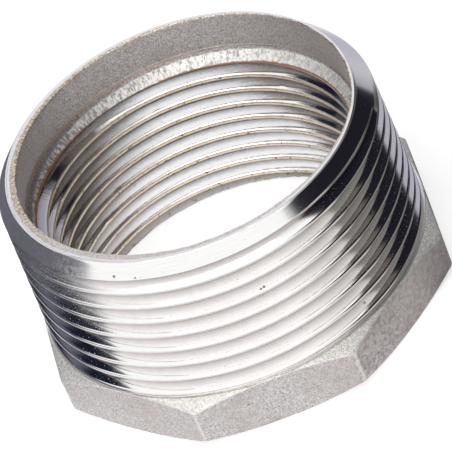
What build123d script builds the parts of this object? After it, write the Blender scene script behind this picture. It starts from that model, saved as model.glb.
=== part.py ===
from build123d import *
from math import atan, cos, degrees, pi, radians, tan
import os

os.makedirs("parts", exist_ok=True)

# Threaded reducing bush: an eight-sided head with a tapered right-hand male pipe thread above it and a
# smaller bore right through it. The female thread is left out: the bore is plain, at the size over its
# crests. All sizes are in millimetres, the head's bottom face is at z = 0, the bush's axis is Z, and +X
# is square to the middle of a head flat.

# Male thread, nominal 1-1/2 inch, 11 threads to the inch, tapered 1 in 16 on the diameter. Its gauge
# diameter lies one gauge length below the rim. Its groove is a V between narrow crest flats, and starts
# inside the head at this height over +X.
pitch = 25.4 / 11
crest_flat = pitch / 6
thread_depth = 0.6403 * pitch
male_gauge_diameter = 47.803
gauge_length = 12.7
taper_on_radius = 1 / 32
groove_start = 4.01

# Wall between the male thread's roots at the gauge plane and the bore, whose crests are those of the
# nominal 1-1/4 inch parallel female thread
wall_thickness = 2.947

# Head, rounded over its corners and turned off there at a shallow slope outside the two lands
head_sides = 8
head_across_flats = 48.8
head_height = 6.5
head_over_corners = 52.54
head_land_diameter = 48.9
head_chamfer_angle = 26.5

# Counterbore, one ledge wider than the bore, and the thin rim round it
overall_length = 26.5
ledge_width = 1.524
ledge_angle = 42
counterbore_depth = 5.0
rim_width = 0.8
rim_chamfer_angle = 50

# Distance that a cut starts outside the face it enters
cut_margin = 0.4

# Sizes that follow from those above
half_flats = head_across_flats / 2
half_corners = half_flats / cos(pi / head_sides)
bore_radius = male_gauge_diameter / 2 - thread_depth - wall_thickness
counterbore_radius = bore_radius + ledge_width
rim_radius = counterbore_radius + rim_width
counterbore_foot = overall_length - counterbore_depth
gauge_height = overall_length - gauge_length
taper_angle = degrees(atan(taper_on_radius))


def male_radius(height):
    """Radius over the male crests at a height on the axis."""
    return male_gauge_diameter / 2 + (gauge_height - height) * taper_on_radius


# The head is a ring round the barrel. Its inner wall lies between the bore and the root of the thread.
male_root_radius = male_radius(head_height) - thread_depth
head_ring_radius = (male_root_radius + bore_radius) / 2

with BuildPart() as head:
    with BuildSketch():
        RegularPolygon(half_flats, head_sides, major_radius=False, rotation=180 / head_sides)
        Circle(head_over_corners / 2, mode=Mode.INTERSECT)
        Circle(head_ring_radius, mode=Mode.SUBTRACT)
    extrude(amount=head_height)

    # Corners turned off below and above
    cut_radius = half_corners + cut_margin
    land_radius = head_land_diameter / 2
    drop = (cut_radius - land_radius) * tan(radians(head_chamfer_angle))
    for face_height, way in ((0, 1), (head_height, -1)):
        with BuildSketch(Plane.XZ):
            with BuildLine():
                Polyline(
                    (land_radius, face_height),
                    (cut_radius, face_height),
                    (cut_radius, face_height + way * drop),
                    close=True,
                )
            make_face()
        revolve(axis=Axis.Z, mode=Mode.SUBTRACT)

with BuildPart() as reducing_bush:
    # Barrel, longer than the finished bush, so that the groove ends in spare length above the rim. Its
    # shoulder lies inside the head.
    shoulder_height = groove_start - pitch
    neck_radius = (head_ring_radius + male_root_radius) / 2
    barrel_top = overall_length + 2 * pitch
    with BuildSketch(Plane.XZ):
        with BuildLine():
            Polyline(
                (bore_radius, 0),
                (neck_radius, 0),
                (neck_radius, shoulder_height),
                (male_radius(shoulder_height), shoulder_height),
                (male_radius(barrel_top), barrel_top),
                (bore_radius, barrel_top),
                close=True,
            )
        make_face()
    revolve(axis=Axis.Z)

    # Thread groove, from inside the head to past the rim
    turns = int((overall_length - groove_start) / pitch) + 1
    start_radius = male_radius(groove_start)
    with BuildLine() as groove_path:
        Helix(
            pitch=pitch,
            height=turns * pitch,
            radius=start_radius,
            center=(0, 0, groove_start),
            cone_angle=-taper_angle,
        )
    half_gap = (pitch - crest_flat) / 2
    half_mouth = half_gap * (thread_depth + cut_margin) / thread_depth
    with BuildSketch(Plane.XZ) as groove_section:
        Polygon(
            (start_radius + cut_margin, groove_start + half_mouth),
            (start_radius - thread_depth, groove_start),
            (start_radius + cut_margin, groove_start - half_mouth),
            align=None,
        )
    sweep(groove_section.sketch, path=groove_path.line, is_frenet=True, mode=Mode.SUBTRACT)

    # Rim turned to length, with its wide outer chamfer
    chamfer_reach = half_corners - rim_radius
    with BuildSketch(Plane.XZ):
        with BuildLine():
            Polyline(
                (0, overall_length),
                (rim_radius, overall_length),
                (half_corners, overall_length - chamfer_reach * tan(radians(rim_chamfer_angle))),
                (half_corners, barrel_top + cut_margin),
                (0, barrel_top + cut_margin),
                close=True,
            )
        make_face()
    revolve(axis=Axis.Z, mode=Mode.SUBTRACT)

    # Counterbore, with the sloping ledge that leads into the bore
    with BuildSketch(Plane.XZ):
        with BuildLine():
            Polyline(
                (0, overall_length + cut_margin),
                (counterbore_radius, overall_length + cut_margin),
                (counterbore_radius, counterbore_foot),
                (0, counterbore_foot - counterbore_radius * tan(radians(ledge_angle))),
                close=True,
            )
        make_face()
    revolve(axis=Axis.Z, mode=Mode.SUBTRACT)

    add(head.part)

reducing_bush.part.label = "reducing_bush"
export_step(reducing_bush.part, "parts/reducing_bush.step")
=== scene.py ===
from math import atan, cos, pi, radians, sin, sqrt, tan

import bmesh
import bpy
import numpy as np
from mathutils import Matrix, Vector


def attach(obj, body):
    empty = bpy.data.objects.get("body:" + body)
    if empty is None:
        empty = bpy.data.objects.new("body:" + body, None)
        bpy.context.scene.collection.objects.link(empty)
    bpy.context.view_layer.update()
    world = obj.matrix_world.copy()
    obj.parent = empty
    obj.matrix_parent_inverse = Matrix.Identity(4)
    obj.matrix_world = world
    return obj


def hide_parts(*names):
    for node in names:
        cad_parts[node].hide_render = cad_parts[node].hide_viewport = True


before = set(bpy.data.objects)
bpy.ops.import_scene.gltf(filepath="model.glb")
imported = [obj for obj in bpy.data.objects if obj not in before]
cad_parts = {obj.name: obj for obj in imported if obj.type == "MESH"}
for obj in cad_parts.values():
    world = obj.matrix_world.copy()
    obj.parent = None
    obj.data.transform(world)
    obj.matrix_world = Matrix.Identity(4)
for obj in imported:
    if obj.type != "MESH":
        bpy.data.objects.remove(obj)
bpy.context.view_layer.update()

MM = 0.001

# Sizes of the bush, in millimetres

PITCH = 25.4 / 11
CREST_FLAT = PITCH / 6
THREAD_DEPTH = 0.6403 * PITCH
FLANK_SLOPE = tan(radians(27.5))

MALE_GAUGE_RADIUS = 47.803 / 2
MALE_GAUGE_HEIGHT = 13.8
MALE_TAPER = 1 / 32
MALE_GROOVE_START = 4.01
MALE_GROOVE_END = 25.0

BORE_RADIUS = 38.952 / 2
FEMALE_CREST_FLAT = 0.48
FEMALE_GROOVE_START = -2.17
FEMALE_GROOVE_END = 20.9
MOUTH_RADIUS = 20.3

ROOT_ROUNDING = 0.30
CREST_ROUNDING = 0.05
GROOVE_FADE = 0.8

# How much more ragged the foot of a threaded wall is than its top
TORN_FOOT = 3.2

HEAD_HEIGHT = 6.5
HALF_FLATS = 48.8 / 2
HEAD_SIDES = 8
CORNER_RADIUS = 0.9
LAND_RADIUS = 48.9 / 2
HEAD_SLOPE = tan(radians(26.5))

LENGTH = 26.5
RIM_RADIUS = 21.75
RIM_SLOPE = 1 / tan(radians(50))
RIM_FOOT = 26.36
RECESS_RADIUS = 21.0
RECESS_FOOT = 21.5
LEDGE_SLOPE = 1 / tan(radians(42))

# The rim's chamfer is turned a little off the axis, along X, and the ledge is steeper on the -X side
RIM_SHIFT = -0.36
LEDGE_WEDGE = 0.55

# The cored recess leans a little: how far its top and its foot lie off the axis, and which way
CORE_TOP, CORE_TOP_TOWARDS = 0.24, radians(50)
CORE_FOOT, CORE_FOOT_TOWARDS = 0.17, radians(150)

# Places and radii of the larger rust spots on the male thread and of the pits in the chamfer
RUST_SPOTS = (
    (13.27, -19.15, 8.02, 0.40), (3.36, -23.2, 19.00, 0.30), (2.95, -23.3, 18.90, 0.24),
    (3.80, -23.2, 19.10, 0.24), (-17.09, -15.69, 20.60, 0.25),
)
CHAMFER_PITS = (
    (-12.36, -19.39, 25.24, 0.24), (-10.08, -20.80, 25.06, 0.16), (-9.5, -21.1, 25.1, 0.1),
)

# Step between level rows of the skin where there is no groove, and how many columns the skin has
# over one flat and one corner of the head
ROW_STEP = 0.05
FLAT_COLUMNS, CORNER_COLUMNS = 26, 4

# Order of the skin's finishes
MALE, FEMALE, RIM, CAST, FACED = range(5)

# Height in metres of the point from which the surroundings are laid out
MIDDLE = 14 * MM


# Node maths

class Num:
    """A number socket of a node tree, with the operators of ordinary arithmetic."""

    def __init__(self, nodes, socket):
        self.nodes = nodes
        self.socket = socket

    def _do(self, operation, *others):
        return self.nodes.maths(operation, self, *others)

    def __add__(self, other):
        return self._do("ADD", other)

    __radd__ = __add__

    def __sub__(self, other):
        return self._do("SUBTRACT", other)

    def __rsub__(self, other):
        return self.nodes.maths("SUBTRACT", other, self)

    def __mul__(self, other):
        return self._do("MULTIPLY", other)

    __rmul__ = __mul__

    def __truediv__(self, other):
        return self._do("DIVIDE", other)

    def __pow__(self, other):
        return self._do("POWER", other)

    def __neg__(self):
        return self._do("MULTIPLY", -1.0)

    def __abs__(self):
        return self._do("ABSOLUTE")


class Nodes:
    """Adds nodes to a tree: maths for numbers, and any other node by its type."""

    def __init__(self, tree):
        self.tree = tree

    def node(self, kind, settings=None, inputs=None):
        made = self.tree.nodes.new(kind)
        for name, value in (settings or {}).items():
            if name == "stops":
                elements = made.color_ramp.elements
                while len(elements) < len(value):
                    elements.new(0.5)
                for stop, (place, colour) in zip(elements, value):
                    stop.position = place
                    stop.color = (*colour, 1.0)
            else:
                setattr(made, name, value)
        for name, value in (inputs or {}).items():
            self.fill(made.inputs[name], value)
        return made

    def fill(self, socket, value):
        if isinstance(value, Num):
            value = value.socket
        if isinstance(value, bpy.types.NodeSocket):
            self.tree.links.new(value, socket)
        else:
            socket.default_value = value

    def maths(self, operation, *values):
        made = self.node("ShaderNodeMath", {"operation": operation})
        for socket, value in zip(made.inputs, values):
            self.fill(socket, value)
        return Num(self, made.outputs[0])

    def step(self, value, low, high):
        """0 below low, 1 above high, with a smooth rise between them."""
        made = self.node("ShaderNodeMapRange", {"interpolation_type": "SMOOTHSTEP"})
        for name, entry in (("Value", value), ("From Min", low), ("From Max", high)):
            self.fill(made.inputs[name], entry)
        return Num(self, made.outputs["Result"])

    def vector(self, x, y, z):
        made = self.node("ShaderNodeCombineXYZ", inputs={"X": x, "Y": y, "Z": z})
        return made.outputs[0]

    def noise(self, vector, scale, detail=2.0, roughness=0.5):
        made = self.node(
            "ShaderNodeTexNoise",
            inputs={"Vector": vector, "Scale": scale, "Detail": detail, "Roughness": roughness},
        )
        return Num(self, made.outputs[0])

    def blend(self, mask, low, high):
        """Colour that goes from low to high with the mask."""
        made = self.node("ShaderNodeMix", {"data_type": "RGBA"})
        self.fill(made.inputs[0], mask)
        self.fill(made.inputs[6], low if not isinstance(low, tuple) else (*low, 1.0))
        self.fill(made.inputs[7], high if not isinstance(high, tuple) else (*high, 1.0))
        return made.outputs[2]


# Finishes

def metal(name):
    """An empty metal material: its nodes, its shader and the place on the bush in millimetres."""
    made = bpy.data.materials.new(name)
    made.use_nodes = True
    nodes = Nodes(made.node_tree)
    shader = made.node_tree.nodes["Principled BSDF"]
    shader.inputs["Metallic"].default_value = 1.0
    place = nodes.node("ShaderNodeTexCoord").outputs["Object"]
    scaled = nodes.node("ShaderNodeVectorMath", {"operation": "SCALE"}, {0: place, "Scale": 1000.0})
    parts = nodes.node("ShaderNodeSeparateXYZ", inputs={0: scaled.outputs[0]})
    x, y, z = (Num(nodes, socket) for socket in parts.outputs)
    return made, nodes, shader, scaled.outputs[0], x, y, z


def bump(nodes, shader, height, strength, distance):
    made = nodes.node(
        "ShaderNodeBump",
        inputs={"Strength": strength, "Distance": distance * MM, "Height": height},
    )
    nodes.tree.links.new(made.outputs[0], shader.inputs["Normal"])


def ramp(nodes, place, *stops):
    """Colour along a number, from (place, colour) stops."""
    made = nodes.node("ShaderNodeValToRGB", {"stops": stops}, {"Fac": place})
    return made.outputs[0]


def tool_marks(nodes, place, angle, radius, climb):
    """Lines of the turning tool along the groove, chatter across it and the patches where it shows."""
    lines = nodes.noise(nodes.vector(angle * 3.0, radius * 14.0, climb * 14.0), 1.0, 3.0, 0.6)
    patches = nodes.step(nodes.noise(place, 0.35, 2.0), 0.35, 0.7)
    uneven = nodes.noise(nodes.vector(angle * 90.0, radius * 0.4, climb * 0.5), 1.0, 1.0)
    comb = nodes.maths("SINE", angle * 560.0 + uneven * 7.0)
    return lines, patches, comb


def spots(nodes, places, x, y, z):
    """1 inside small round spots, given by their places and radii."""
    mask = 0.0
    for x0, y0, z0, reach in places:
        off = nodes.maths("SQRT", (x - x0) * (x - x0) + (y - y0) * (y - y0) + (z - z0) * (z - z0))
        mask = nodes.maths("MAXIMUM", mask, 1 - nodes.step(off, reach * 0.5, reach))
    return mask


def around_axis(nodes, x, y):
    """Angle and distance round the bush's axis."""
    return nodes.maths("ARCTAN2", y, x), nodes.maths("SQRT", x * x + y * y)


def groove_place(nodes, angle, height, start):
    """Where a point lies on the thread's profile, from 0 on mid crest through 0.5 in the root to 1."""
    return nodes.maths("FRACT", (height - start) / PITCH - angle / (2 * pi) + 0.5)


def male_thread_steel():
    """Bright turned steel of the male thread, with painted shade in the root and under each crest,
    greyer on the crests.
    """
    made, nodes, shader, place, x, y, z = metal("male_thread_steel")
    angle, radius = around_axis(nodes, x, y)
    lines, patches, comb = tool_marks(nodes, place, angle, radius, z - angle * (PITCH / (2 * pi)))
    drift = (nodes.noise(place, 1.3, 3.0, 0.6) - 0.5) * 0.05
    profile = groove_place(nodes, angle, z, MALE_GROOVE_START)
    # Painted shade: the colour darkens into the root and in a thin line under each crest's edge
    colour = ramp(
        nodes, profile + drift,
        (0.00, (0.63, 0.605, 0.59)), (0.06, (0.84, 0.82, 0.81)), (0.10, (0.97, 0.965, 0.96)),
        (0.20, (0.95, 0.945, 0.94)), (0.31, (0.74, 0.72, 0.71)), (0.43, (0.46, 0.43, 0.42)),
        (0.50, (0.35, 0.315, 0.30)), (0.54, (0.88, 0.87, 0.86)), (0.89, (0.90, 0.88, 0.87)),
        (0.92, (0.44, 0.40, 0.38)), (0.95, (0.47, 0.43, 0.41)), (0.98, (0.63, 0.605, 0.59)),
    )
    colour = nodes.blend(nodes.step(lines, 0.62, 0.80) * 0.12, colour, (0.45, 0.43, 0.42))
    rust = nodes.step(nodes.noise(place, 2.1, 2.0, 0.5), 0.755, 0.785)
    colour = nodes.blend(rust * 0.8, colour, (0.20, 0.10, 0.05))
    colour = nodes.blend(spots(nodes, RUST_SPOTS, x, y, z) * 0.9, colour, (0.16, 0.07, 0.03))
    nodes.fill(shader.inputs["Base Color"], colour)

    # Worn and dusty towards the rim on one side
    worn = nodes.step(z - x * 0.3, 19.0, 30.0)
    dust = nodes.step(nodes.noise(place, 5.0, 1.0, 0.5) + worn * 0.04, 0.70, 0.76)
    rough = 0.055 + patches * 0.03 + lines * (0.03 + worn * 0.32) + dust * 0.25
    nodes.fill(shader.inputs["Roughness"], rough)
    bump(nodes, shader, lines * 0.09 + comb * (0.02 + patches * 0.04) + dust * 0.3, 0.35, 0.012)
    return made


def female_thread_steel():
    """Bright turned steel of the female thread, with painted shade in the root and under each crest, and
    a brown film on its crests.
    """
    made, nodes, shader, place, x, y, z = metal("female_thread_steel")
    angle, radius = around_axis(nodes, x, y)
    lines, patches, comb = tool_marks(nodes, place, angle, radius, z - angle * (PITCH / (2 * pi)))
    drift = (nodes.noise(place, 1.8, 3.0, 0.65) - 0.5) * 0.055
    profile = groove_place(nodes, angle, z, FEMALE_GROOVE_START)
    # Painted shade: the colour darkens into the root and in a thin line under each crest
    colour = ramp(
        nodes, profile + drift,
        (0.00, (0.86, 0.76, 0.64)), (0.075, (0.93, 0.87, 0.78)), (0.105, (0.66, 0.54, 0.42)),
        (0.13, (0.98, 0.965, 0.955)), (0.21, (0.98, 0.98, 0.99)), (0.26, (0.92, 0.93, 0.95)),
        (0.30, (0.76, 0.77, 0.80)), (0.35, (0.54, 0.545, 0.59)), (0.41, (0.33, 0.33, 0.36)),
        (0.46, (0.23, 0.22, 0.24)), (0.50, (0.12, 0.10, 0.10)), (0.55, (0.94, 0.93, 0.94)),
        (0.85, (0.93, 0.91, 0.90)), (0.885, (0.10, 0.06, 0.045)), (0.915, (0.20, 0.13, 0.09)),
        (0.95, (0.74, 0.62, 0.49)),
    )
    crest = 1 - nodes.step(radius, BORE_RADIUS + 0.05, BORE_RADIUS + 0.16)
    film = nodes.step(nodes.noise(place, 1.1, 3.0, 0.65), 0.45, 0.75)
    colour = nodes.blend(film * crest * 0.45, colour, (0.46, 0.33, 0.22))

    # Painted light: paler towards the front, which brightens it where the far wall reflects it; darker
    # and browner on the left, away from the crests
    colour = nodes.blend(nodes.step(-y, 1.0, 7.0) * 0.8, colour, (0.97, 0.97, 0.97))
    left = nodes.step(-x, 7.0, 16.0) * nodes.step(y, -8.0, -2.0) * nodes.step(profile, 0.12, 0.2)
    colour = nodes.blend(left * 0.45, colour, (0.40, 0.36, 0.31))

    # Torn metal at the mouth, and pits
    torn = nodes.noise(place, 2.2, 3.0, 0.65)
    mouth = 1 - nodes.step(z + (torn - 0.5) * 1.2, 0.75, 0.95)
    colour = nodes.blend(mouth * 0.7, colour, (0.42, 0.395, 0.375))
    colour = nodes.blend(mouth * nodes.step(torn, 0.60, 0.66) * 0.8, colour, (0.10, 0.075, 0.06))
    specks = nodes.noise(place, 2.6, 2.0, 0.55)
    pits = nodes.step(specks + crest * 0.10, 0.745, 0.775)
    colour = nodes.blend(pits * 0.85, colour, (0.10, 0.06, 0.04))
    nodes.fill(shader.inputs["Base Color"], colour)
    rough = 0.06 + patches * 0.04 + lines * 0.03 + crest * 0.25 + pits * 0.3 + mouth * 0.25
    nodes.fill(shader.inputs["Roughness"], rough)
    bump(nodes, shader, lines * 0.18 + comb * (0.14 + patches * 0.20) - pits * 0.4, 0.35, 0.013)
    return made


def rim_steel():
    """Faced steel of the rim and its chamfer, with a granular brown fringe at the recess."""
    made, nodes, shader, place, x, y, z = metal("rim_steel")
    angle, radius = around_axis(nodes, x, y)
    lines, patches, comb = tool_marks(nodes, place, angle, radius, z)
    grain = nodes.noise(place, 4.2, 3.0, 0.6)
    ragged = nodes.noise(place, 1.5, 4.0, 0.7)
    fringe = 1 - nodes.step(radius + x * 0.007 + (ragged - 0.5) * 0.6, 21.30, 21.42)
    flat = nodes.step(z, 26.40, 26.46)
    brushed = nodes.noise(nodes.vector(angle * 9.0, radius * 2.0, z * 16.0), 1.0, 3.0, 0.6)
    colour = nodes.blend(nodes.step(brushed, 0.3, 0.75), (0.93, 0.925, 0.92), (0.99, 0.985, 0.97))
    # Painted reflection: the faced top is tinted a darker lavender grey
    colour = nodes.blend(flat * 0.6, colour, (0.66, 0.65, 0.70))

    # Fringe of the casting left round the recess, stained brown away from the front
    beige = nodes.blend(nodes.step(grain, 0.3, 0.7), (0.44, 0.34, 0.25), (0.97, 0.92, 0.84))
    colour = nodes.blend(fringe, colour, beige)
    stain = nodes.noise(place, 2.4, 3.0, 0.7) - (radius - 20.9) * 0.10
    edge = fringe * nodes.step(stain, 0.50, 0.62)
    near = nodes.step(-y, 4.0, 13.0)
    colour = nodes.blend(fringe * near * 0.55, colour, (0.80, 0.79, 0.82))
    colour = nodes.blend(edge * (1 - near * 0.8) * 0.75, colour, (0.38, 0.17, 0.06))

    # Brown line along the chamfer's foot, pits, and a darker bluish mottle on the chamfer's left
    foot = nodes.step(radius + (ragged - 0.5) * 0.2, 23.34, 23.44) * nodes.step(-y, 2.0, 12.0)
    colour = nodes.blend(foot * 0.6, colour, (0.50, 0.36, 0.26))
    specks = nodes.step(nodes.noise(place, 2.9, 2.0, 0.5), 0.735, 0.765)
    specks = nodes.maths("MAXIMUM", specks, spots(nodes, CHAMFER_PITS, x, y, z))
    colour = nodes.blend(specks * 0.8, colour, (0.13, 0.10, 0.09))
    chamfer_mottle = nodes.step(ragged + (brushed - 0.5) * 0.5, 0.34, 0.66)
    chamfer_mottle = nodes.step(-x, 14.0, 17.5) * (1 - flat) * chamfer_mottle
    colour = nodes.blend(chamfer_mottle * 0.6, colour, (0.62, 0.62, 0.65))
    nodes.fill(shader.inputs["Base Color"], colour)
    rough = 0.10 + lines * 0.05 + fringe * 0.38 + specks * 0.3 + chamfer_mottle * 0.18
    nodes.fill(shader.inputs["Roughness"], rough)
    turned = nodes.noise(nodes.vector(angle * 1.5, radius * 9.0, 0.0), 1.0, 2.0, 0.6)
    height = lines * 0.25 + comb * patches * 0.05 + fringe * grain * 3.0 + flat * turned * 3.2
    bump(nodes, shader, height, 0.4, 0.014)
    return made


def blasted_steel():
    """Grey blasted casting of the head's flats and the recess, with worn pale corners."""
    made, nodes, shader, place, x, y, z = metal("blasted_steel")
    angle, radius = around_axis(nodes, x, y)
    grain = nodes.noise(place, 4.6, 3.0, 0.65)
    fine = nodes.noise(place, 11.0, 2.0, 0.6)
    coarse = nodes.noise(place, 0.9, 4.0, 0.6)
    patches = nodes.noise(place, 0.22, 3.0, 0.55)
    pits = nodes.step(nodes.noise(place, 2.9, 2.0, 0.5), 0.66, 0.72)
    sand = nodes.step(grain * 0.6 + fine * 0.4, 0.34, 0.66)
    grey = nodes.blend(sand, (0.36, 0.34, 0.34), (0.80, 0.775, 0.765))
    warm = nodes.blend(nodes.step(coarse, 0.3, 0.7), (0.40, 0.33, 0.32), (0.62, 0.57, 0.56))
    colour = nodes.blend(nodes.step(patches, 0.4, 0.65) * 0.45, grey, warm)
    recess = nodes.step(z, 19.0, 20.0)
    colour = nodes.blend(recess * nodes.step(grain, 0.36, 0.66) * 0.42, colour, (0.99, 0.93, 0.91))
    colour = nodes.blend(recess * nodes.step(abs(x), 8.0, 20.0) * 0.40, colour, (0.30, 0.27, 0.265))
    colour = nodes.blend(pits * 0.5, colour, (0.16, 0.13, 0.13))

    # Mottled brown stain on one flat, which also darkens the whole flat as painted shade, paler at one
    # end
    brown = nodes.step((x - y) / sqrt(2), 23.9, 24.3) * (1 - recess)
    mottle = nodes.step(nodes.noise(place, 1.6, 4.0, 0.7), 0.42, 0.62)
    colour = nodes.blend(brown * (mottle * 0.38 + 0.16), colour, (0.24, 0.18, 0.19))
    colour = nodes.blend(brown * nodes.step(x, 13.0, 21.0) * 0.28, colour, (0.97, 0.91, 0.93))
    colour = nodes.blend(brown * (1 - mottle) * 0.12, colour, (0.97, 0.91, 0.93))

    # Rubbed vertical edges of the head
    turn = nodes.maths("FRACT", angle * (HEAD_SIDES / (2 * pi))) - 0.5
    rubbed = 1 - nodes.step(abs(turn) + (coarse - 0.5) * 0.05, 0.003, 0.016)
    rubbed = rubbed * nodes.step(radius, 25.0, 25.4)
    colour = nodes.blend(rubbed * 0.4, colour, (0.90, 0.88, 0.85))
    nodes.fill(shader.inputs["Base Color"], colour)
    nodes.fill(shader.inputs["Roughness"], 0.50 + grain * 0.16 - rubbed * 0.12)
    bump(nodes, shader, grain * 0.9 + fine * 0.3 + coarse * 0.6 - pits * 0.5, 0.85, 0.10)
    return made


def faced_steel():
    """Pale scratched granular steel of the head's turned-off corners and the ledge in the bore."""
    made, nodes, shader, place, x, y, z = metal("faced_steel")
    angle, radius = around_axis(nodes, x, y)
    grain = nodes.noise(place, 3.4, 3.0, 0.65)
    fine = nodes.noise(place, 8.0, 2.0, 0.6)
    scratch = nodes.noise(nodes.vector(x * 0.9 + y * 7.0, x * 7.0 - y * 0.9, z * 2.0), 1.0, 3.0, 0.6)
    stains = nodes.step(nodes.noise(place, 1.9, 3.0, 0.6), 0.60, 0.72)
    sand = nodes.step(grain * 0.6 + fine * 0.4, 0.34, 0.66)
    colour = nodes.blend(sand, (0.58, 0.56, 0.53), (0.99, 0.975, 0.94))
    colour = nodes.blend(stains * 0.4, colour, (0.46, 0.38, 0.29))

    # Ledge: white radial streaks, a grey cast band outside them, a brown joint and a brown foot
    ledge = nodes.step(z, 19.0, 19.5)
    streaks = nodes.noise(nodes.vector(angle * 62.0, radius * 1.6, z * 0.5), 1.0, 3.0, 0.65)
    colour = nodes.blend(ledge * nodes.step(streaks, 0.42, 0.66) * 0.5, colour, (1.0, 0.99, 0.98))
    dull = ledge * (1 - nodes.step(streaks + x * 0.004, 0.34, 0.52))
    colour = nodes.blend(dull * 0.8, colour, (0.30, 0.29, 0.30))
    ragged = nodes.noise(place, 1.7, 4.0, 0.7)
    band = ledge * nodes.step(radius + (streaks - 0.5) * 0.5, 20.62, 20.78)
    grey = nodes.blend(nodes.step(grain, 0.34, 0.66), (0.25, 0.235, 0.235), (0.50, 0.47, 0.47))
    colour = nodes.blend(band, colour, grey)
    joint = nodes.step(z, 21.52, 21.56)
    colour = nodes.blend(joint * 0.7, colour, (0.62, 0.47, 0.34))
    leftward = nodes.maths("MAXIMUM", -x / radius, 0.0)
    foot = radius - BORE_RADIUS - (leftward ** 1.5) * 0.9
    fringe = ledge * (1 - nodes.step(foot + (ragged - 0.5) * 0.35, 0.07, 0.15))
    colour = nodes.blend(fringe * 0.85, colour, (0.40, 0.21, 0.10))

    # Smooth land at the foot of the thread
    land = (1 - ledge) * (1 - nodes.step(radius + (ragged - 0.5) * 0.3, 24.25, 24.45))
    colour = nodes.blend(land * 0.8, colour, (0.97, 0.96, 0.95))
    nodes.fill(shader.inputs["Base Color"], colour)
    nodes.fill(shader.inputs["Roughness"], 0.50 + grain * 0.15 - land * 0.25)
    relief = grain * 1.0 + fine * 0.3 + scratch * 0.4
    bump(nodes, shader, relief * (1 - land * 0.85), 0.85, 0.10)
    return made


# The thread tree

THREAD_SIZES = (
    "Pitch", "Groove Start", "Groove End", "Crest Radius", "Taper", "Crest Flat", "Groove Depth",
    "Flank Slope", "Root Rounding", "Crest Rounding", "Side", "Rim Radius", "Rim Height", "Rim Slope",
    "Rim Shift", "Rim Wedge", "Foot Radius", "Foot Slope", "Ragged Edge", "Nicks",
)


def thread_tree():
    """Geometry nodes that wrap a flat sheet, angle across and height up, into a threaded wall."""
    tree = bpy.data.node_groups.new("threaded_wall", "GeometryNodeTree")
    tree.interface.new_socket("Geometry", in_out="INPUT", socket_type="NodeSocketGeometry")
    for name in THREAD_SIZES:
        tree.interface.new_socket(name, in_out="INPUT", socket_type="NodeSocketFloat")
    tree.interface.new_socket("Material", in_out="INPUT", socket_type="NodeSocketMaterial")
    tree.interface.new_socket("Geometry", in_out="OUTPUT", socket_type="NodeSocketGeometry")
    nodes = Nodes(tree)
    given = nodes.node("NodeGroupInput")
    size = {name: Num(nodes, given.outputs[name]) for name in THREAD_SIZES}
    place = nodes.node("GeometryNodeInputPosition").outputs[0]
    flat = nodes.node("ShaderNodeSeparateXYZ", inputs={0: place})
    angle, height, _ = (Num(nodes, socket) for socket in flat.outputs)

    # Distance up or down from the middle of the nearest groove, and the groove's depth there
    pitch = size["Pitch"]
    rise = height - size["Groove Start"] - pitch * angle / (2 * pi)
    off = rise - pitch * nodes.maths("ROUND", rise / pitch)
    away = abs(off)
    half_gap = (pitch - size["Crest Flat"]) / 2
    flank = (half_gap - away) / size["Flank Slope"]
    depth = nodes.maths("SMOOTH_MIN", flank, size["Groove Depth"], size["Root Rounding"])
    depth = nodes.maths("SMOOTH_MAX", depth, 0.0, size["Crest Rounding"])
    end = size["Groove End"]
    depth = depth * (1 - nodes.step(height - off, end - GROOVE_FADE * MM, end))

    # Nicks in the crests and the ragged edges that the ends leave
    side = size["Side"]
    around = nodes.vector(nodes.maths("COSINE", angle), nodes.maths("SINE", angle), height / (20 * MM))
    nick = nodes.step(nodes.noise(around, 26.0, 2.0, 0.6), 0.66, 0.74)
    ragged = (nodes.noise(around, 16.0, 4.0, 0.7) - 0.5) * size["Ragged Edge"]
    crest = size["Crest Radius"] - height * size["Taper"]
    wall = side * crest - nodes.maths("MAXIMUM", depth, nick * size["Nicks"])

    # The cones that turn off both ends of the wall
    across = nodes.maths("COSINE", angle)
    slope = size["Rim Slope"] + size["Rim Wedge"] * nodes.maths("MAXIMUM", -across, 0.0)
    rim = size["Rim Radius"] + size["Rim Shift"] * across + ragged
    rim = rim + (size["Rim Height"] - height) * slope
    foot = size["Foot Radius"] + height * size["Foot Slope"] + ragged * TORN_FOOT
    wall = nodes.maths("MINIMUM", wall, nodes.maths("MINIMUM", side * rim, side * foot))
    radius = side * wall

    # Bent round the axis and closed at the seam
    bent = nodes.vector(radius * across, radius * nodes.maths("SINE", angle), height)
    placed = nodes.node(
        "GeometryNodeSetPosition", inputs={"Geometry": given.outputs["Geometry"], "Position": bent}
    )
    closed = nodes.node(
        "GeometryNodeMergeByDistance",
        inputs={"Geometry": placed.outputs[0], "Distance": 0.001 * MM},
    )
    whole = nodes.node("GeometryNodeRealizeInstances", inputs={"Geometry": closed.outputs[0]})
    dressed = nodes.node(
        "GeometryNodeSetMaterial",
        inputs={"Geometry": whole.outputs[0], "Material": given.outputs["Material"]},
    )
    nodes.node("NodeGroupOutput", inputs={"Geometry": dressed.outputs[0]})
    return tree


def columns():
    """Angles of the skin's columns, close together at the head's rounded corners."""
    octant = 2 * pi / HEAD_SIDES
    tangent = atan((HALF_FLATS - CORNER_RADIUS) * tan(octant / 2) / HALF_FLATS)
    flat = np.linspace(-tangent, tangent, FLAT_COLUMNS + 1)[:-1]
    corner = np.linspace(tangent, octant - tangent, CORNER_COLUMNS + 1)[:-1]
    one = np.concatenate([flat, corner])
    every = np.concatenate([one + octant * k for k in range(HEAD_SIDES)])
    return np.sort(every % (2 * pi))


COLUMNS = columns()


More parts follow.
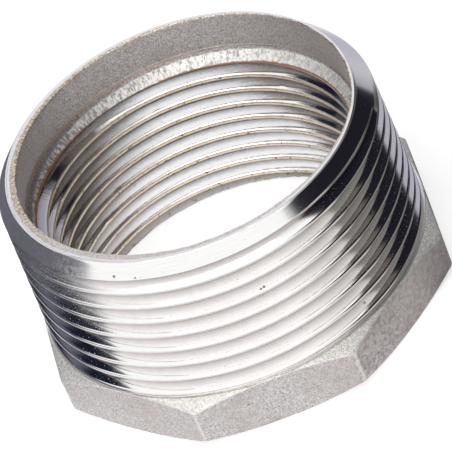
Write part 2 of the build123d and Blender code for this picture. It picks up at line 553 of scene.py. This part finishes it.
def sheet_mesh(name, levels):
    """A flat mesh, angle across and height up, with one row of points for each given level."""
    across = np.concatenate([COLUMNS, [2 * pi]])
    n = len(across)
    points = [(a, level(a) * MM, 0.0) for level in levels for a in across]
    faces = [
        (i * n + j, i * n + j + 1, (i + 1) * n + j + 1, (i + 1) * n + j)
        for i in range(len(levels) - 1)
        for j in range(n - 1)
    ]
    made = bpy.data.meshes.new(name)
    made.from_pydata(points, [], faces)
    return made


def thread_levels(start, low, high, crest_flat):
    """Rows that follow the groove between two heights, closest together at its root and edges."""
    half_gap = (PITCH - crest_flat) / 2
    upper = (0.0, 0.09, 0.18, 0.28, half_gap - 0.10, half_gap - 0.03, half_gap + 0.03)
    offsets = [-w for w in reversed(upper[1:])] + list(upper)
    first = int((low - start) / PITCH) - 3
    last = int((high - start) / PITCH) + 2
    heights = [start + k * PITCH + w for k in range(first, last) for w in offsets]
    heights = [h for h in heights if low - PITCH < h < high]
    heights = [low - PITCH] + heights + [high]

    def follow(h):
        return lambda a: min(max(h + PITCH * a / (2 * pi), low), high)

    return [follow(h) for h in heights]


def flat_levels(low, high, ends=()):
    """Level rows from a height to just below another, with one more where the wall ends."""
    return [lambda a, h=h: h for h in [*np.arange(low, high, ROW_STEP), *ends]]


def threaded_wall(name, levels, sizes, material, tree):
    """Mesh of one threaded wall, made by the tree from a flat sheet."""
    sheet = bpy.data.objects.new(name, sheet_mesh(name, levels))
    bpy.context.scene.collection.objects.link(sheet)
    wrap = sheet.modifiers.new("wrap", "NODES")
    wrap.node_group = tree
    for socket in tree.interface.items_tree:
        if socket.in_out == "INPUT" and socket.name in sizes:
            wrap[socket.identifier] = float(sizes[socket.name])
        if socket.in_out == "INPUT" and socket.name == "Material":
            wrap[socket.identifier] = material
    seen = sheet.evaluated_get(bpy.context.evaluated_depsgraph_get())
    made = bpy.data.meshes.new_from_object(seen)
    sheet.modifiers.remove(wrap)
    bpy.data.objects.remove(sheet)
    return made


def male_wall(tree, material):
    """Male thread with the rim's chamfer."""
    groove_top, chamfer_top, clear_of_wall = 24.25, 26.2, 40
    levels = thread_levels(MALE_GROOVE_START, HEAD_HEIGHT, groove_top, CREST_FLAT)
    levels += flat_levels(groove_top + ROW_STEP, chamfer_top, [RIM_FOOT])
    sizes = {
        "Pitch": PITCH * MM, "Groove Start": MALE_GROOVE_START * MM,
        "Crest Radius": (MALE_GAUGE_RADIUS + MALE_GAUGE_HEIGHT * MALE_TAPER) * MM,
        "Taper": MALE_TAPER, "Crest Flat": CREST_FLAT * MM, "Groove Depth": THREAD_DEPTH * MM,
        "Flank Slope": FLANK_SLOPE, "Root Rounding": ROOT_ROUNDING * MM,
        "Crest Rounding": CREST_ROUNDING * MM, "Side": 1, "Rim Radius": RIM_RADIUS * MM,
        "Rim Height": LENGTH * MM, "Rim Slope": RIM_SLOPE, "Groove End": MALE_GROOVE_END * MM,
        "Rim Shift": RIM_SHIFT * MM, "Rim Wedge": 0, "Foot Radius": clear_of_wall * MM,
        "Foot Slope": 0, "Ragged Edge": 0, "Nicks": 0.02 * MM,
    }
    return threaded_wall("male_thread", levels, sizes, material, tree)


def female_wall(tree, material):
    """Female thread with the ledge above it and its broken mouth below."""
    mouth_top, groove_top, short_of_end = 0.92, 19.95, 0.02
    levels = flat_levels(0, mouth_top - short_of_end)
    levels += thread_levels(FEMALE_GROOVE_START, mouth_top, groove_top, FEMALE_CREST_FLAT)
    levels += flat_levels(groove_top + ROW_STEP, RECESS_FOOT - short_of_end, [RECESS_FOOT])
    sizes = {
        "Pitch": PITCH * MM, "Groove Start": FEMALE_GROOVE_START * MM,
        "Crest Radius": BORE_RADIUS * MM, "Taper": 0, "Crest Flat": FEMALE_CREST_FLAT * MM,
        "Groove Depth": THREAD_DEPTH * MM, "Flank Slope": FLANK_SLOPE,
        "Root Rounding": ROOT_ROUNDING * MM, "Crest Rounding": CREST_ROUNDING * MM, "Side": -1,
        "Rim Radius": RECESS_RADIUS * MM, "Rim Height": RECESS_FOOT * MM, "Rim Slope": -LEDGE_SLOPE,
        "Groove End": FEMALE_GROOVE_END * MM, "Rim Shift": 0, "Rim Wedge": LEDGE_WEDGE,
        "Foot Radius": MOUTH_RADIUS * MM, "Foot Slope": -1, "Ragged Edge": 0.30 * MM,
        "Nicks": 0.12 * MM,
    }
    return threaded_wall("female_thread", levels, sizes, material, tree)


# The rest of the skin

def mesh_points(mesh):
    """Points of a mesh, in metres."""
    points = np.empty(len(mesh.vertices) * 3, dtype=np.float32)
    mesh.vertices.foreach_get("co", points)
    return points.reshape(-1, 3)


def edge_ring(mesh, height):
    """Points of a wall's end at a height, one for each column, in metres."""
    level, seam = 1e-7, 1e-4
    points = mesh_points(mesh)
    points = points[np.abs(points[:, 2] - height * MM) < level]
    order = np.argsort(np.arctan2(points[:, 1], points[:, 0]) % (2 * pi) % (2 * pi - seam))
    if len(order) != len(COLUMNS):
        raise RuntimeError("ring at %s has %d points" % (height, len(order)))
    return points[order]


def ring(radius, height):
    """Points round the axis in metres, one for each column."""
    radius = np.broadcast_to(radius, COLUMNS.shape)
    height = np.broadcast_to(height, COLUMNS.shape)
    return np.stack([radius * np.cos(COLUMNS), radius * np.sin(COLUMNS), height], -1) * MM


def ring_radius(points):
    """Radius in millimetres of each point of a ring."""
    return np.hypot(points[:, 0], points[:, 1]) / MM


def waver(seed, size, lowest=3, highest=90, fall=0.55):
    """A wavering line round the axis, one value for each column."""
    chance = np.random.default_rng(seed)
    line = np.zeros_like(COLUMNS)
    for k in range(lowest, highest):
        line += chance.normal() * np.cos(k * COLUMNS + chance.uniform(0, 2 * pi)) / k ** fall
    return size * line / np.abs(line).max()


def head_radius():
    """Radius of the eight-sided head at each column, rounded at its corners."""
    octant = 2 * pi / HEAD_SIDES
    off_flat = (COLUMNS + octant / 2) % octant - octant / 2
    off_corner = octant / 2 - np.abs(off_flat)
    centre = HALF_FLATS / cos(octant / 2) - CORNER_RADIUS / cos(octant / 2)
    flat = HALF_FLATS / np.cos(off_flat)
    inside = np.maximum(CORNER_RADIUS ** 2 - (centre * np.sin(off_corner)) ** 2, 0)
    rounded = centre * np.cos(off_corner) + np.sqrt(inside)
    near_corner = off_corner < CORNER_RADIUS * sin(octant / 2) / HALF_FLATS + 1e-3
    return np.where(near_corner, np.minimum(flat, rounded), flat)


def head_rings(top_ring, foot_ring):
    """Head from the foot of the male thread, over its flats, to the mouth of the female thread."""
    land_edge, land_turn, land_drop = 0.02, 0.03, 0.012
    flat_near, flat_turn, flat_drop, flat_start = 0.10, 0.03, 0.02, 0.11
    outer = head_radius()
    near = outer - flat_near
    land = np.minimum(LAND_RADIUS, near)
    fall = np.maximum(outer - LAND_RADIUS, 0) * HEAD_SLOPE
    turned_off = fall > land_edge
    inner = ring_radius(top_ring)
    mouth = ring_radius(foot_ring)

    def slope(radius):
        return np.maximum(radius - LAND_RADIUS, 0) * HEAD_SLOPE

    # Top face and the slope that turns off its corners
    bands = []
    for part in (0.0, 0.35, 0.7):
        bands.append((inner + (land - inner) * part, HEAD_HEIGHT, FACED))
    bands.append((land - land_edge, HEAD_HEIGHT, FACED))
    bands.append((land + land_turn * turned_off, HEAD_HEIGHT - land_drop * turned_off, FACED))
    for part in (0.33, 0.66, 1.0):
        r = land + (near - land) * part
        bands.append((r, HEAD_HEIGHT - slope(r), FACED))
    bands.append((outer - flat_turn, HEAD_HEIGHT - fall - flat_drop, FACED))

    # Flats
    top, foot = HEAD_HEIGHT - fall - flat_start, fall + flat_start
    for part in (0.0, 0.25, 0.5, 0.75, 1.0):
        bands.append((outer, top * (1 - part) + foot * part, CAST))

    # Slope below and the bottom face
    bands.append((outer - flat_turn, fall + flat_drop, CAST))
    for part in (1.0, 0.66, 0.33):
        r = land + (near - land) * part
        bands.append((r, slope(r), CAST))
    bands.append((land + land_turn * turned_off, land_drop * turned_off, CAST))
    bands.append((land - land_edge, 0, CAST))
    for part in (0.66, 0.33):
        bands.append((mouth + (land - mouth) * part, 0, CAST))
    rings = [top_ring] + [ring(r, z) for r, z, kind in bands[1:]] + [foot_ring]
    return rings, [kind for r, z, kind in bands]


def recess_rings(rim_ring, ledge_ring):
    """Rim and cored recess, from the chamfer's upper edge to the ledge."""
    mouth_radius, edge_drop, wall_start, wall_set_back, joint = 20.98, 0.10, 0.30, 0.12, 0.10
    edge = mouth_radius + CORE_TOP * np.cos(COLUMNS - CORE_TOP_TOWARDS)
    edge = edge + waver(5, 0.10) + waver(8, 0.07, 20, 110, 0.2)
    edge_top, edge_foot = LENGTH - edge_drop, LENGTH - wall_start
    foot = RECESS_RADIUS + 0.06 + CORE_FOOT * np.cos(COLUMNS - CORE_FOOT_TOWARDS) + waver(11, 0.03)
    foot_height = RECESS_FOOT + (foot - RECESS_RADIUS) / LEDGE_SLOPE
    outer = ring_radius(rim_ring)
    bands = [(outer, RIM_FOOT, RIM)]
    for r, down in ((0.005, 0.07), (0.02, 0.025), (0.06, 0), (0.10, 0), (0.14, 0)):
        bands.append((outer - r, LENGTH - down, RIM))
    bands.append((edge + 0.14, LENGTH, RIM))
    for r, down in ((0.09, 0), (0.02, 0.005), (-0.04, 0.04), (-0.09, 0.14), (-0.12, 0.30)):
        z = LENGTH - down
        bands.append((edge + r, z, RIM if z > edge_top else CAST))

    # The core's joint stands out as a fine step just above the ledge
    step = foot_height + joint
    for part in (0.15, 0.3, 0.5, 0.7, 0.85, 0.96):
        settle = min(part / 0.9, 1)
        wall = (edge - wall_set_back) * (1 - settle) + foot * settle
        bands.append((wall, edge_foot + (step - edge_foot) * part, CAST))
    bands.append((foot, step + 0.03, CAST))
    for r, z in ((0.03, 0.01), (0.05, -0.02), (0.06, -0.07)):
        bands.append((foot - r, step + z, FACED))
    rings = [rim_ring] + [ring(r, z) for r, z, kind in bands[1:]] + [ledge_ring]
    return rings, [kind for r, z, kind in bands]


def wall_kinds(wall, co):
    """Which finish each face of a threaded wall has, by its distance from the turned cones."""
    near_chamfer, near_ledge, ledge_foot, between_walls = 0.02, 0.18, 19.9, 21.3
    kinds = []
    for side in wall.polygons:
        middle = co[list(side.vertices)].mean(axis=0) / MM
        radius = np.hypot(middle[0], middle[1])
        across = middle[0] / radius
        chamfer = RIM_RADIUS + RIM_SHIFT * across + (LENGTH - middle[2]) * RIM_SLOPE
        ledge_slope = LEDGE_SLOPE - LEDGE_WEDGE * max(-across, 0)
        ledge = RECESS_RADIUS - (RECESS_FOOT - middle[2]) * ledge_slope
        if radius > between_walls:
            kinds.append(RIM if abs(radius - chamfer) < near_chamfer else MALE)
        else:
            on_ledge = middle[2] > ledge_foot and abs(radius - ledge) < near_ledge
            kinds.append(FACED if on_ledge else FEMALE)
    return kinds


def weld(mesh):
    """Joins a mesh into one closed skin, without slivers and with its faces outward."""
    reach, sliver = 0.0015 * MM, 0.0002 * MM
    work = bmesh.new()
    work.from_mesh(mesh)
    bmesh.ops.remove_doubles(work, verts=work.verts, dist=reach)
    bmesh.ops.dissolve_degenerate(work, edges=work.edges, dist=sliver)
    bmesh.ops.recalc_face_normals(work, faces=work.faces)
    if work.calc_volume(signed=True) < 0:
        bmesh.ops.reverse_faces(work, faces=work.faces)
    work.to_mesh(mesh)
    work.free()


def skin(male, female, materials):
    """The bush's whole closed skin as one mesh."""
    points, faces, marks = [], [], []

    def add(new_points, new_faces, new_marks):
        base = sum(len(p) for p in points)
        points.append(np.asarray(new_points, dtype=np.float64))
        faces.extend(tuple(base + i for i in face) for face in new_faces)
        marks.extend(new_marks)

    # The two threaded walls
    for wall in (male, female):
        co = mesh_points(wall)
        add(co, [tuple(side.vertices) for side in wall.polygons], wall_kinds(wall, co))

    # The head and the recess between them
    for rings, kinds in (
        head_rings(edge_ring(male, HEAD_HEIGHT), edge_ring(female, 0.0)),
        recess_rings(edge_ring(male, RIM_FOOT), edge_ring(female, RECESS_FOOT)),
    ):
        n = len(COLUMNS)
        sides = [
            (i * n + j, i * n + (j + 1) % n, (i + 1) * n + (j + 1) % n, (i + 1) * n + j)
            for i in range(len(rings) - 1)
            for j in range(n)
        ]
        add(np.concatenate(rings), sides, [kind for kind in kinds for _ in range(n)])

    made = bpy.data.meshes.new("reducing_bush_skin")
    made.from_pydata(np.concatenate(points), [], faces)
    made.polygons.foreach_set("material_index", marks)
    for material in materials:
        made.materials.append(material)

    weld(made)
    made.polygons.foreach_set("use_smooth", [True] * len(made.polygons))
    made.update()
    return made


def dress_bush():
    """Puts the skin in place of the plain bush."""
    materials = [male_thread_steel(), female_thread_steel(), rim_steel(), blasted_steel(), faced_steel()]
    tree = thread_tree()
    male = male_wall(tree, materials[MALE])
    female = female_wall(tree, materials[FEMALE])
    mesh = skin(male, female, materials)
    piece = bpy.data.objects.new("reducing_bush_skin", mesh)
    bpy.context.scene.collection.objects.link(piece)
    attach(piece, "root")
    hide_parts("reducing_bush")
    return piece


# Studio

# How much of the light the floor throws back, how much the room gives, and what both show besides
# to the camera and in the metal
FLOOR_TONE, FLOOR_GLOW = 0.72, 0.61
ROOM_LIGHT, ROOM_GLOW = 0.45, 0.57

# Patches of the surroundings that only the metal shows: azimuths and elevations from the bush, how
# soft each of their ends is, all in degrees, and the colour in the middle
PATCHES = (
    ("drape on the right", (-43, 47), (-4, 64), (9, 2), (3, 2), (0.012, 0.011, 0.017)),
    ("brown shelf above it", (8, 48), (53, 69), (2, 3), (3, 1.5), (0.14, 0.12, 0.105)),
    ("pale panel behind it", (42.5, 76), (-14, 41), (1, 3), (5, 5), (0.44, 0.43, 0.50)),
    # The next three are painted shade on the floor, seen only in the metal
    ("painted floor shade on the right", (-58, 44), (-31, -1), (34, 30), (5, 3), (0.74, 0.73, 0.71)),
    ("darker painted floor shade beside it", (-31, 42), (-31, -1), (5, 16), (5, 3), (0.25, 0.25, 0.24)),
    ("darkest painted floor shade", (6, 42), (-31, -1), (24, 16), (5, 3), (0.07, 0.07, 0.07)),
    # Painted shade on the floor inside the bore, seen only in the metal
    ("painted floor shade under the bore", (-46, 60), (-76, -31), (30, 30), (6, 5), (0.24, 0.235, 0.22)),
    # Below the horizon this one is painted shade on the floor
    ("grey wall and painted floor shade on the left", (108, 191), (-22, 26), (6, 6), (5, 5), (0.13, 0.13, 0.155)),
    ("dark drape on the left", (104, 159.5), (16, 53.5), (6, 0.8), (4, 2), (0.008, 0.010, 0.022)),
    ("grey gleam on it", (110, 152), (25, 33), (8, 8), (6, 6), (0.13, 0.135, 0.17)),
)


def surroundings(azimuth, elevation):
    """Colour of the surroundings in the directions given in degrees, white apart from the patches."""
    colour = np.ones(azimuth.shape + (3,))

    def inside(value, low, high, soft):
        rise = np.clip((value - low) / soft[0] + 0.5, 0, 1)
        fall = np.clip((high - value) / soft[1] + 0.5, 0, 1)
        both = np.minimum(rise, fall)
        return both * both * (3 - 2 * both)

    for _, sides, heights, side_soft, height_soft, tone in PATCHES:
        middle = (sides[0] + sides[1]) / 2
        turned = (azimuth - middle + 180) % 360 - 180 + middle
        share = inside(turned, *sides, side_soft) * inside(elevation, *heights, height_soft)
        colour = colour * (1 - share[..., None]) + share[..., None] * np.array(tone)
    return colour


def painted_sheet(name, places, wide, material):
    """A grid of places, closed round the axis, that carries the colour of the surroundings."""
    mesh = bpy.data.meshes.new(name)
    rows = len(places) // wide
    faces = [
        (i * wide + j, i * wide + (j + 1) % wide, (i + 1) * wide + (j + 1) % wide, (i + 1) * wide + j)
        for i in range(rows - 1)
        for j in range(wide)
    ]
    mesh.from_pydata(places, [], faces)
    off = places - np.array([0, 0, MIDDLE])
    azimuth = np.degrees(np.arctan2(off[:, 1], off[:, 0]))
    elevation = np.degrees(np.arctan2(off[:, 2], np.hypot(off[:, 0], off[:, 1])))
    tone = np.ones((len(places), 4))
    tone[:, :3] = surroundings(azimuth, elevation)
    paint = mesh.attributes.new("paint", "FLOAT_COLOR", "POINT")
    paint.data.foreach_set("color", tone.ravel())
    mesh.materials.append(material)
    piece = bpy.data.objects.new(name, mesh)
    bpy.context.scene.collection.objects.link(piece)
    return piece


def background_rays(nodes):
    """1 for the rays that see the background, and 1 for those of them that the metal throws back."""
    rays = nodes.node("ShaderNodeLightPath")
    straight, glossy, through = (
        Num(nodes, rays.outputs[name])
        for name in ("Is Camera Ray", "Is Glossy Ray", "Is Transmission Ray")
    )
    return nodes.maths("MAXIMUM", nodes.maths("MAXIMUM", straight, glossy), through), glossy


def bare_material(name):
    """A material with nothing in it but its output."""
    made = bpy.data.materials.new(name)
    made.use_nodes = True
    made.node_tree.nodes.remove(made.node_tree.nodes["Principled BSDF"])
    return made, Nodes(made.node_tree), made.node_tree.nodes["Material Output"].inputs["Surface"]


def floor():
    """Pale plain floor that looks white and keeps the bush's soft shadow, and shows painted shade in the
    metal.
    """
    made, nodes, surface = bare_material("pale_floor")
    seen, glossy = background_rays(nodes)
    paint = nodes.node("ShaderNodeAttribute", {"attribute_name": "paint"}).outputs["Color"]
    # In the metal the floor takes the painted colour, with its painted shade
    tone = nodes.blend(glossy, (1.0, 1.0, 1.0), paint)
    dim = nodes.node("ShaderNodeVectorMath", {"operation": "SCALE"}, {0: tone, "Scale": FLOOR_TONE})
    plain = nodes.node("ShaderNodeBsdfDiffuse", inputs={"Color": dim.outputs[0]})
    glow = nodes.node("ShaderNodeEmission", inputs={"Color": tone, "Strength": seen * FLOOR_GLOW})
    both = nodes.node("ShaderNodeAddShader", inputs={0: plain.outputs[0], 1: glow.outputs[0]})
    nodes.fill(surface, both.outputs[0])
    reach = (0.0005, 0.02, 0.03, 0.04, 0.055, 0.075, 0.1, 0.14, 0.2, 0.3, 0.5, 1.0, 4.0)
    turns = np.linspace(0, 2 * pi, 181)[:-1]
    places = np.array([(r * cos(a), r * sin(a), 0.0) for r in reach for a in turns])
    painted_sheet("floor", places, len(turns), made)


def tent():
    """White tent with the dark drapes, seen only in the metal."""
    made, nodes, surface = bare_material("tent_cloth")
    paint = nodes.node("ShaderNodeAttribute", {"attribute_name": "paint"}).outputs["Color"]
    glow = nodes.node("ShaderNodeEmission", inputs={"Color": paint, "Strength": 1.0})
    nodes.fill(surface, glow.outputs[0])
    turns = np.linspace(0, 2 * pi, 361)[:-1]
    rises = np.linspace(0, pi / 2 - 0.002, 91)
    far = 1.2
    places = np.array([
        (far * cos(e) * cos(a), far * cos(e) * sin(a), far * sin(e) + MIDDLE)
        for e in rises
        for a in turns
    ])
    piece = painted_sheet("tent", places, len(turns), made)
    piece.visible_camera = False
    piece.visible_diffuse = False
    piece.visible_shadow = False


def lights():
    """Plain white world and one soft lamp overhead."""
    world = bpy.data.worlds.new("white_room")
    bpy.context.scene.world = world
    world.use_nodes = True
    nodes = Nodes(world.node_tree)
    seen, _ = background_rays(nodes)
    ground = world.node_tree.nodes["Background"]
    nodes.fill(ground.inputs["Color"], (1.0, 1.0, 1.0, 1.0))
    nodes.fill(ground.inputs["Strength"], ROOM_LIGHT + seen * ROOM_GLOW)
    lamp = bpy.data.lights.new("soft_box", "AREA")
    lamp.shape = "DISK"
    lamp.size = 0.7
    lamp.energy = 3.0
    piece = bpy.data.objects.new("soft_box", lamp)
    piece.location = (-0.15, -0.25, 0.95)
    aim = Vector((0, 0, 0.01)) - piece.location
    piece.rotation_euler = aim.to_track_quat("-Z", "Y").to_euler()
    bpy.context.scene.collection.objects.link(piece)


def camera():
    """Camera at the photo's angle."""
    lens = bpy.data.cameras.new("camera")
    lens.lens = 356.48
    lens.sensor_width = 36.0
    lens.sensor_fit = "HORIZONTAL"
    lens.shift_x = -0.003757
    lens.shift_y = 0.006432
    lens.clip_start = 0.01
    piece = bpy.data.objects.new("camera", lens)
    right = Vector((0.932717, -0.184784, -0.309667)).normalized()
    up = Vector((0.356763, 0.597927, 0.717777)).normalized()
    back = right.cross(up).normalized()
    up = back.cross(right)
    turn = Matrix((right, up, back)).transposed().to_4x4()
    piece.matrix_world = Matrix.Translation(Vector((28.955, -421.291, 347.148)) * MM) @ turn
    bpy.context.scene.collection.objects.link(piece)
    bpy.context.scene.camera = piece


bpy.context.scene.view_settings.view_transform = "Standard"
dress_bush()
floor()
tent()
lights()
camera()
